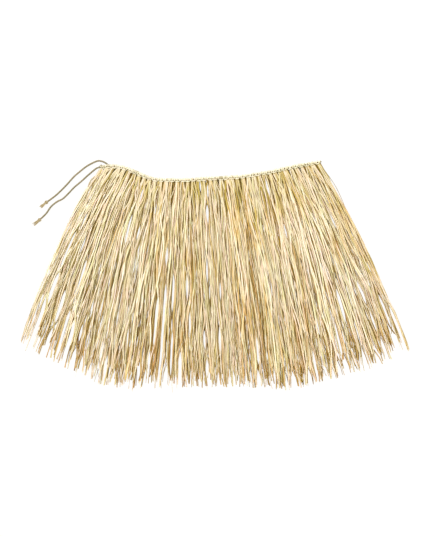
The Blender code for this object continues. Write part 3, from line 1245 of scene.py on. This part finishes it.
        # Up to three kinks.
        kinked = np.zeros_like(at)
        for _ in range(int(rng.integers(0, 4))):
            place, reach = rng.uniform(30, 400), rng.uniform(16, 50)
            kinked += rng.uniform(-3.2, 3.2) * np.maximum(0, 1 - np.abs(length - place) / reach)
        # The sway that it has with its neighbours.
        fan_phase, hank_phase = self.sway
        shared = 1.1 * np.sin(math.tau * (share * 21 + length / 190 + fan_phase))
        shared += 0.8 * np.sin(math.tau * (share * 43 - length / 105 + hank_phase))
        # A way out over its neighbours near the hitch and back.
        crossed = rng.uniform(60, 170)
        crossing = rng.normal(0, 3.4) * np.sin(math.pi * np.clip(length / crossed, 0, 1)) ** 2
        inside = smoothstep(share / 0.02) * smoothstep((1 - share) / 0.02)
        loose = mix(0.35, 1.0, inside)
        own = (slow + kinked + crossing + wave(rng, length, 0.8)) * loose
        return (own + shared * inside * at**0.4) * smoothstep(at / 0.09)

    def half_widths(
        self,
        rng: np.random.Generator,
        at: Array,
        end: float,
        length: Array,
        stray: bool,
        gathered: float,
    ) -> Array:
        """Half of a strip's width at each station.

        Args:
            rng: where its own chances come from.
            at: the share of the drop at each station.
            end: the share of the drop where it ends.
            length: the length so far at each station.
            stray: whether it is a thin fibre.
            gathered: the share of its width that it has in the hitch.

        Returns:
            The half widths.
        """
        low, high = self.widths
        whole = rng.uniform(0.8, 1.4) if stray else low + (high - low) * rng.beta(1.3, 1.8)
        half = whole / 2 * (1 + 0.14 * wave(rng, length, 1.0))
        half *= mix(gathered, 1.0, smoothstep(at / 0.34)) * mix(1.02, 0.86, at)
        taper = float(rng.choice((0.4, 0.7, 0.9, 1.0)))  # how the tip is cut
        return half * mix(1.0, taper, smoothstep((at / end - 0.93) / 0.07))

    def heights(
        self, rng: np.random.Generator, root_height: float, at: Array, length: Array, lie: Lie
    ) -> Array:
        """The height of a strip's middle at each station.

        Args:
            rng: where its own chances come from.
            root_height: the height of the heading's underside.
            at: the share of the drop at each station.
            length: the length so far at each station.
            lie: how its layer lies.

        Returns:
            The heights, which fall from under the hitch to the pile.
        """
        lying = self.rest + lie.level * self.layer_step + rng.uniform(0.3, 1.5)
        top = root_height + lie.crest + rng.uniform(0, 0.7)
        soft = wave(rng, length, 0.4 + 0.35 * lie.level)
        if rng.random() < 0.25:  # a tip that curls up
            soft = soft + rng.uniform(0.5, 2.6) * smoothstep((at - 0.9) / 0.1)
        down = smoothstep(at / rng.uniform(0.10, 0.22))
        found = mix(top, lying + soft, down)
        found[0] = root_height + lie.start
        return np.maximum(found, self.rest * down + 0.35)

    @staticmethod
    def folding(rng: np.random.Generator, at: Array, length: Array) -> Array:
        """How far a strip is folded along its middle.

        Args:
            rng: where its own chances come from.
            at: the share of the drop at each station.
            length: the length so far at each station.

        Returns:
            The angle that each half leans down at each station.
        """
        lean = np.radians(rng.uniform(6, 42)) * mix(0.8, 1.0, smoothstep(at / 0.3))
        return np.clip(lean + 0.22 * wave(rng, length, 1.0), 0.05, 1.1)

    @staticmethod
    def rolling(rng: np.random.Generator, length: Array) -> Array:
        """How a strip turns about its own line, with half a turn more in some.

        Args:
            rng: where its own chances come from.
            length: the length so far at each station.

        Returns:
            The angle at each station.
        """
        roll = np.radians(rng.normal(0, 12)) + wave(rng, length, rng.uniform(0.15, 0.6))
        if rng.random() < 0.4:
            place, stretch = rng.uniform(30, 380), rng.uniform(20, 60)
            turn = smoothstep((length - place) / stretch) * math.pi
            roll = roll + turn * rng.choice((-1, 1))
        return roll * smoothstep(length / 25)

    def piles(self) -> list[LeafPile]:
        """The panel's strips.

        Returns:
            One pile for each layer, from the lowest.
        """
        rng = np.random.default_rng(self.seed)
        self.sway = (rng.random(), rng.random())
        self.hanks = Hank.row(rng, HITCHES)
        made = []
        for layer in Layer:
            name = f"{self.name}_leaves_{layer.name.lower()}"
            pile = LeafPile(name, 1000 * self.seed + 300 * layer.value.level)
            count = layer.value.strips
            for hitch in range(HITCHES):
                for i in range(count):
                    slot = (2 * (i + 0.5) / count - 1) + rng.uniform(-0.35, 0.35)
                    pile.add(self.leaf(rng, hitch, layer, slot))
            made.append(pile)
        return made

    def hitch_pile(self) -> LeafPile:
        """The hitches, each of two loops of leaf over the cord, one inside the other.

        Returns:
            The loops as strips: each comes up behind the cord, over it, across the front of
            the hank and back the same way.
        """
        rng = np.random.default_rng(self.seed + 100)
        pile = LeafPile(f"{self.name}_hitches", 1000 * self.seed + 950)
        # Half of a loop: how far across, hemward and up it is, the way that it faces in the
        # same three, and its half width. Across is a share of the loop's own spread.
        half_loop = (
            (1.0, 1.6, 0.5, 0.0, 0.5, -1.0, 0.9),
            (1.0, -1.3, 0.7, 0.0, -0.6, -0.8, 1.5),
            (1.0, -3.3, 2.6, 0.0, -1.0, 0.0, 1.75),
            (1.0, -2.1, 4.6, 0.0, -0.6, 0.8, 1.95),
            (1.0, -0.2, 5.2, 0.0, 0.1, 1.0, 1.85),
            (0.97, 2.1, 4.7, 0.0, 0.3, 0.9, 0.8),
            (0.62, 3.8, 4.6, 0.1, 0.2, 1.0, 0.95),
        )
        middle_bar = (0.0, 4.3, 4.75, 0.0, 0.1, 1.0, 1.0)
        mirrored = [(-a, h, z, -na, *rest) for a, h, z, na, *rest in reversed(half_loop)]
        loop = np.array((*half_loop, middle_bar, *mirrored))
        for hitch in range(HITCHES):
            point, along, hemward = self.axes(self.share((hitch + 0.5) / HITCHES))
            axes = np.array((along, hemward, UP))
            skew, turned = rng.normal(0, 0.7), math.radians(rng.normal(0, 7))
            for spread, reach in (
                (4.8 * rng.uniform(0.92, 1.1), 0.95 * rng.uniform(0.82, 1.14)),
                (1.5 * rng.uniform(0.6, 1.6), 0.78 * rng.uniform(0.75, 1.25)),
            ):
                local = loop[:, :3].copy()
                local[:, 0] *= spread
                local[:, 0] += skew + local[:, 1] * math.tan(turned)
                pulled = rng.uniform(0.9, 1.12)
                local[:, 1] *= np.where(local[:, 1] > 0, reach, pulled)
                local[:, 2] += rng.uniform(0.0, 0.25)
                whole = through(np.hstack((local, loop[:, 3:])), 3)
                middle = point + whole[:, :3] @ axes
                count = len(middle)
                pile.add(
                    Leaf(
                        middle=middle,
                        normal=unit(whole[:, 3:6] @ axes),
                        half_width=whole[:, 6] * rng.uniform(0.85, 1.05),
                        roll=np.full(count, rng.normal(0, 0.16)),
                        fold=np.full(count, rng.uniform(0.1, 0.5)),
                        along=Line(middle).lengths,
                        tone=float(np.clip(rng.normal(0.85, 0.20), 0.1, 1.0)),
                        warmth=rng.uniform(0.2, 0.8),
                        depth=0.0,
                        crease=1.8,
                        thickness=0.45,
                    )
                )
        return pile

    def build(self, leaf_look: bpy.types.Material, hitch_look: bpy.types.Material) -> None:
        """Builds and places the panel.

        Args:
            leaf_look: the material of the strips that hang.
            hitch_look: the material of the loops on the cord.
        """
        for pile in self.piles():
            dressed(pile.build(leaf_look), "raffia", f"{self.name}_grass")
        dressed(self.hitch_pile().build(hitch_look), "raffia", f"{self.name}_grass")


@dataclass
class TwistedCord:
    """A cord of two plies."""

    name: str
    number: int
    diameter: float = CORD_DIAMETER
    lay: float = 7.5  # the length in which the plies go once round
    pinch: float = 0.86  # the radius between the plies, as a share of the largest
    around: int = 12
    step: float = 0.9
    fullness: float = 1.1  # the plies' reach over the cord's own size

    def build(
        self,
        line: Array,
        look: bpy.types.Material,
        closed: bool = False,
        held: Rows = ((0.0, 0.0), (1.0, 0.0)),
    ) -> bpy.types.Object:
        """Makes the cord's mesh.

        Args:
            line: the points of its middle.
            look: its material.
            closed: whether its end meets its start.
            held: how far hitches hold it, as rows of a share of its length and 0 to 1; there it
                gets painted shade.

        Returns:
            The object.
        """
        path = Line(line)
        stations = max(8, round(path.length / self.step))
        shares = np.linspace(0, 1, stations + 1)
        if closed:
            shares = shares[:-1]
        middle = path.at(shares)
        count = len(middle)
        if closed:
            tangent = unit(np.roll(middle, -1, axis=0) - np.roll(middle, 1, axis=0))
        else:
            tangent = unit(np.gradient(middle, axis=0))
        side = np.empty_like(middle)
        side[0] = unit(np.cross(tangent[0], UP + 0.01))
        for i in range(1, count):
            side[i] = unit(side[i - 1] - tangent[i] * (side[i - 1] @ tangent[i]))
        upward = np.cross(tangent, side)
        along = shares * path.length
        turn = math.tau * np.arange(self.around) / self.around
        ply = np.abs(np.cos(turn[None] - math.tau * along[:, None] / self.lay))
        radius = self.diameter / 2 * self.fullness * np.maximum(ply, self.pinch)
        ring = (
            middle[:, None]
            + side[:, None] * (radius * np.cos(turn))[..., None]
            + upward[:, None] * (radius * np.sin(turn))[..., None]
        )
        faces = self.faces_of(count, closed)
        place = np.empty((count, self.around, 3))
        place[..., 0] = turn * self.diameter / 2
        place[..., 1] = along[:, None]
        place[..., 2] = self.number
        looks = np.full((count, self.around, 3), 0.5)
        looks[..., 2] = np.interp(shares, *np.array(held).T)[:, None]
        return make_mesh(
            self.name,
            ring.reshape(-1, 3),
            faces,
            look,
            self.map_of(faces, count, closed),
            {"leaf_place": place.reshape(-1, 3), "leaf_look": looks.reshape(-1, 3)},
        )

    def faces_of(self, count: int, closed: bool) -> Array:
        """The cord's faces.

        Args:
            count: how many sections it has.
            closed: whether its end meets its start.

        Returns:
            Its quads, as numbers of its own points, with two filled ends where it is open.
        """
        k = np.arange(self.around)
        rows = np.arange(count if closed else count - 1)[:, None]
        low, high = rows * self.around, (rows + 1) % count * self.around
        following = (k + 1) % self.around
        sides = np.stack((low + k, low + following, high + following, high + k), axis=-1)
        sides = sides.reshape(-1, 4)
        if closed:
            return sides
        half = np.arange(self.around // 2 - 1)
        cap = np.stack((half, half + 1, self.around - 2 - half, self.around - 1 - half), axis=-1)
        return np.concatenate((sides, cap[:, ::-1], cap + (count - 1) * self.around))

    def map_of(self, faces: Array, count: int, closed: bool) -> Array:
        """The cord in the map: rows of short lengths, one below the other.

        Args:
            faces: its quads.
            count: how many sections it has.
            closed: whether its end meets its start.

        Returns:
            The place of each corner of its quads.
        """
        rows = math.ceil(math.sqrt(count / self.around))
        per_row = math.ceil(count / rows)
        station, turn = faces // self.around, faces % self.around
        first = station[:, :1]
        ahead = np.where(station == first, 0, 1)
        wrapped = np.where((turn == 0) & (turn[:, :1] == self.around - 1), self.around, turn)
        u = (first % per_row + ahead + 0.02) / (per_row + 1)
        v = (first // per_row + 0.02 + 0.92 * wrapped / self.around) / rows
        if not closed:
            caps = 2 * (self.around // 2 - 1)
            u[-caps:, 2:] += 0.4 / per_row
        return np.stack((u, v), axis=-1)


def dressed(piece: bpy.types.Object, slot: str, *nodes: str) -> bpy.types.Object:
    """Puts a piece on the skirt's body.

    Args:
        piece: what to put there.
        slot: the material slot that it would take its finish from; not used.
        nodes: the CAD nodes that it stands for.

    Returns:
        The piece.
    """
    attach(piece, "root")
    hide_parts(*nodes)
    log.info("%s: %d faces", piece.name, len(piece.data.polygons))
    return piece


@dataclass
class Tie:
    """A free end of the waist cord: a twisted cord, its end knot, and the frayed leaf past it."""

    name: str
    panel: Panel
    route: Rows
    number: int
    knot_offset: float = 3.8  # from the cord's end to the knot's middle
    knot_height: float = 2.6
    knot_size: float = 1.55
    knot_cord: float = 2.5  # the cord's diameter where it is drawn tight
    tuft_start: float = 2.2  # from the knot's middle
    tuft_strips: int = 20
    tuft_length: float = 13.0
    fullness: float = 1.34  # the plies' reach over the cord's own size
    last_stretch: float = 8.0  # of the cord, whose way the knot follows

    def line(self) -> Line:
        """The cord's way.

        Returns:
            Its middle, from the waist cord's end to the knot.
        """
        points = self.panel.cord_points()
        outward = unit(points[0] - points[1])
        end = points[0] + outward
        whole = Line(through([end, end + outward * 2.0, *self.route]))
        shares = np.linspace(0.3 / whole.length, 1.0, round(whole.length / 1.5))
        laid = whole.at(shares)
        laid[:, 2] = np.maximum(laid[:, 2], CORD_DIAMETER / 2 * self.fullness)
        return Line(laid)

    def knot_line(self, centre: Array, forward: Array, side: Array) -> Array:
        """An overhand knot, drawn tight.

        Args:
            centre: its middle.
            forward: the way that the cord comes.
            side: the way across it.

        Returns:
            The points of the cord's middle, which end where they start.
        """
        t = np.linspace(0, math.tau, 73)[:, None]
        out = self.knot_size * (1.25 + 0.62 * np.cos(3 * t))
        return (
            centre
            + forward * out * np.cos(2 * t) * 1.12
            + side * out * np.sin(2 * t) * 0.92
            + UP * self.knot_size * 0.62 * np.sin(3 * t)
        )

    def tuft(self, start: Array, forward: Array, side: Array) -> LeafPile:
        """The frayed leaf past the knot.

        Args:
            start: the knot's middle.
            forward: the way that the cord comes.
            side: the way across it.

        Returns:
            The strips.
        """
        rng = np.random.default_rng(self.number)
        pile = LeafPile(f"{self.name}_frayed_end", 40 * self.number)
        t = np.linspace(0, 1, 9)
        for _ in range(self.tuft_strips):
            splay, bend = rng.normal(0, 0.09), rng.normal(0, 0.06)
            length = self.tuft_length * rng.uniform(0.75, 1.05)
            start_side, start_up = rng.uniform(-2.0, 2.0), rng.uniform(-0.9, 1.1)
            out = start_side + (splay * t + bend * t**2) * length
            up = np.maximum(start[2] + start_up * (1 - 0.7 * t) - 0.9 * t, 0.45)
            ahead = self.tuft_start + length * t
            middle = start + forward * ahead[:, None] + side * out[:, None]
            middle[:, 2] = up
            pile.add(
                Leaf(
                    middle=middle,
                    normal=np.tile(UP, (len(t), 1)),
                    half_width=rng.uniform(0.7, 1.1) * mix(1.0, 0.6, t**2),
                    roll=np.full(len(t), rng.normal(0, 0.5)),
                    fold=np.full(len(t), rng.uniform(0.2, 0.8)),
                    along=length * t,
                    tone=rng.uniform(0.35, 0.7),
                    warmth=rng.uniform(0.5, 0.9),
                    depth=0.1,
                )
            )
        return pile

    def build(self, cord_look: bpy.types.Material, frayed_look: bpy.types.Material) -> None:
        """Builds and places the tie.

        Args:
            cord_look: the twisted cord's material.
            frayed_look: the knot's and the frayed end's material.
        """
        line = self.line()
        twisted = TwistedCord(f"{self.name}_cord", self.number, fullness=self.fullness)
        cord = twisted.build(line.points, cord_look)
        dressed(cord, "cord", self.name)
        end, before = line.points[-1], line.at(1 - self.last_stretch / line.length)[0]
        forward = unit((end - before) * (1, 1, 0))
        side = np.array((-forward[1], forward[0], 0.0))
        centre = end + forward * self.knot_offset
        centre[2] = self.knot_height
        name = f"{self.name}_knot"
        knot = TwistedCord(name, self.number + 10, diameter=self.knot_cord, lay=6.5)
        knot_piece = knot.build(self.knot_line(centre, forward, side), frayed_look, closed=True)
        dressed(knot_piece, "cord", f"{self.name}_end")
        tuft = self.tuft(centre, forward, side).build(frayed_look)
        dressed(tuft, "cord", f"{self.name}_end")
        (line.points[0] + LAID_AT) * MM
        (line.points + LAID_AT) * MM
        log.info("%s: %.0f mm of cord", self.name, line.length)


@dataclass
class WaistCord:
    """The cord through both headings and round the fold."""

    front: Panel
    back: Panel
    bend_steps: int = 12
    bend_out: float = 0.3  # from the last hitches to the middle of the bend
    bare: float = 0.008  # share of it at each end, and at each side of the fold, out of a hitch
    eye_cord: float = 1.7  # the diameter of the cord in the eye
    eye_middle: Triple = (-1.4, 1.8, 0.9)  # from the cord's end: along it, to the upper edge, up
    eye_size: Triple = (2.1, 2.2, 0.7)  # its half width each way

    def line(self) -> Array:
        """The cord's way.

        Returns:
            Its middle, from the front tie's start to the back tie's.
        """
        upper, lower = self.front.cord_points(), self.back.cord_points()
        outward = WAIST.direction(1.0)
        radius = (upper[-1, 2] - lower[-1, 2]) / 2
        centre = (upper[-1] + lower[-1]) / 2 + outward * self.bend_out
        angles = np.linspace(math.pi / 2, -math.pi / 2, self.bend_steps + 1)[:, None]
        bend = centre + radius * (outward * np.cos(angles) + UP * np.sin(angles))
        for points in (upper, lower):
            points[0] += unit(points[0] - points[1])
        return np.vstack((upper, bend, lower[::-1]))

    def eye(self, line: Array) -> Array:
        """The eye that the cord's front end makes by the first hitch.

        Args:
            line: the cord's middle.

        Returns:
            The points of the eye's middle, which end where they start.
        """
        t = np.linspace(0, math.tau, 33)[:, None]
        along, across = unit(line[0] - line[1]), np.array((0.0, 1.0, 0.0))
        ahead, aside, over = self.eye_middle
        length, width, height = self.eye_size
        middle = line[0] + along * (ahead + length * np.cos(t))
        middle = middle + across * (aside + width * np.sin(t))
        return middle + UP * (over + height * np.cos(2 * t))

    def build(self, look: bpy.types.Material) -> None:
        """Builds and places the cord and its eye.

        Args:
            look: the twisted cord's material.
        """
        line, bare = self.line(), self.bare
        # where the hitches hold the cord, which gets painted shade there
        held = (
            (0.0, 0.0),
            (bare, 1.0),
            (0.5 - 2 * bare, 1.0),
            (0.5 - bare, 0.0),
            (0.5 + bare, 0.0),
            (0.5 + 2 * bare, 1.0),
            (1 - bare, 1.0),
            (1.0, 0.0),
        )
        made = TwistedCord("waist_cord_twisted", 1).build(line, look, held=held)
        dressed(made, "cord", "waist_cord")
        ring = TwistedCord("waist_cord_eye", 2, diameter=self.eye_cord, lay=4.5, step=0.6)
        dressed(ring.build(self.eye(line), look, closed=True), "cord", "waist_cord")


@dataclass(frozen=True)
class Lamp:
    """An even light from far off."""

    name: str
    place: Triple  # where it comes from, seen from the skirt
    softness: float  # how broad it looks, in degrees
    power: float
    colour: Colour

    def make(self) -> None:
        """Makes the light."""
        data = bpy.data.lights.new(self.name, "SUN")
        data.angle = math.radians(self.softness)
        data.energy = self.power
        data.color = self.colour
        made = placed(self.name, data)
        made.location = Vector(self.place)
        made.rotation_euler = (-Vector(self.place)).to_track_quat("-Z", "Y").to_euler()


@dataclass(frozen=True)
class Air:
    """The studio's air: warm where it lights the leaf, and pale as the table where it is seen."""

    name: str = "studio_air"
    colour: Colour = (1.0, 0.84, 0.36)
    strength: float = 0.97
    seen: Colour = FloorFinish.glow

    def make(self) -> bpy.types.World:
        """Builds the world.

        Returns:
            The world.
        """
        shade = Shade(bpy.data.worlds.new(self.name))
        shade.dress("Background", {"Color": self.colour, "Strength": self.strength})
        lighting = Term(shade, shade.tree.nodes["Background"].outputs[0])
        seen = shade.node("ShaderNodeBackground", {}, {"Color": self.seen})
        looked_at = shade.node("ShaderNodeLightPath", output="Is Camera Ray")
        both = shade.node("ShaderNodeMixShader", {}, {0: looked_at, 1: lighting, 2: seen})
        shade.dress("World Output", {"Surface": both})
        return shade.owner


@dataclass
class Studio:
    """A plain pale table, soft light, and a camera straight above."""

    frame_width: float = 870.0
    centre: tuple[float, float] = (9.0, -179.0)
    height: float = 2100.0  # of the camera over the level at which frame_width holds
    level: float = 5.0
    sensor: float = 36.0
    table_size: float = 30.0  # in metres
    lamps: tuple[Lamp, ...] = (
        Lamp("key_light", (-1.35, 1.1, 1.7), 6.0, 2.84, (0.97, 0.965, 1.0)),
        Lamp("fill_light", (1.4, -0.4, 1.5), 60.0, 0.35, (1.0, 0.92, 0.76)),
    )

    def camera(self) -> None:
        """Makes the camera, which sees frame_width across at the skirt's height."""
        data = bpy.data.cameras.new("camera")
        data.sensor_fit = "HORIZONTAL"
        data.sensor_width = self.sensor
        data.lens = self.sensor * self.height / self.frame_width
        made = placed("camera", data)
        place = (np.array((*self.centre, self.height + self.level)) + LAID_AT) * MM
        made.location = Vector(place)
        bpy.context.scene.camera = made

    def table(self, look: bpy.types.Material) -> None:
        """Makes the table.

        Args:
            look: its material.
        """
        half = self.table_size / 2
        mesh = bpy.data.meshes.new("table")
        corners = [(-half, -half, 0), (half, -half, 0), (half, half, 0), (-half, half, 0)]
        mesh.from_pydata(corners, [], [(0, 1, 2, 3)])
        mesh.materials.append(look)
        made = placed("table", mesh)

    def build(self) -> None:
        """Makes the table, the lights and the air."""
        self.table(FloorFinish().make())
        for lamp in self.lamps:
            lamp.make()
        bpy.context.scene.world = Air().make()
        bpy.context.scene.view_settings.view_transform = "Standard"


def main() -> None:
    """Builds the skirt and its studio."""
    logging.basicConfig(level=logging.INFO, format="%(message)s")
    studio = Studio()
    studio.camera()
    leaf_look, hitch_look = RaffiaFinish().make(), HitchFinish().make()
    cord_look, frayed_look = CordFinish().make(), FrayedFinish().make()
    front = Panel("front", start=0.0, base=5.8, rest=3.75, droop=1.8, seed=5)
    back = Panel("back", start=0.045, base=0.0, rest=0.0, droop=0.0, seed=11)
    Tie("front_tie", front, FRONT_ROUTE, number=3).build(cord_look, frayed_look)
    Tie("back_tie", back, BACK_ROUTE, number=8).build(cord_look, frayed_look)
    WaistCord(front, back).build(cord_look)
    for panel in (back, front):
        panel.build(leaf_look, hitch_look)
    studio.build()
    bpy.context.view_layer.update()


if __name__ == "__main__":
    main()
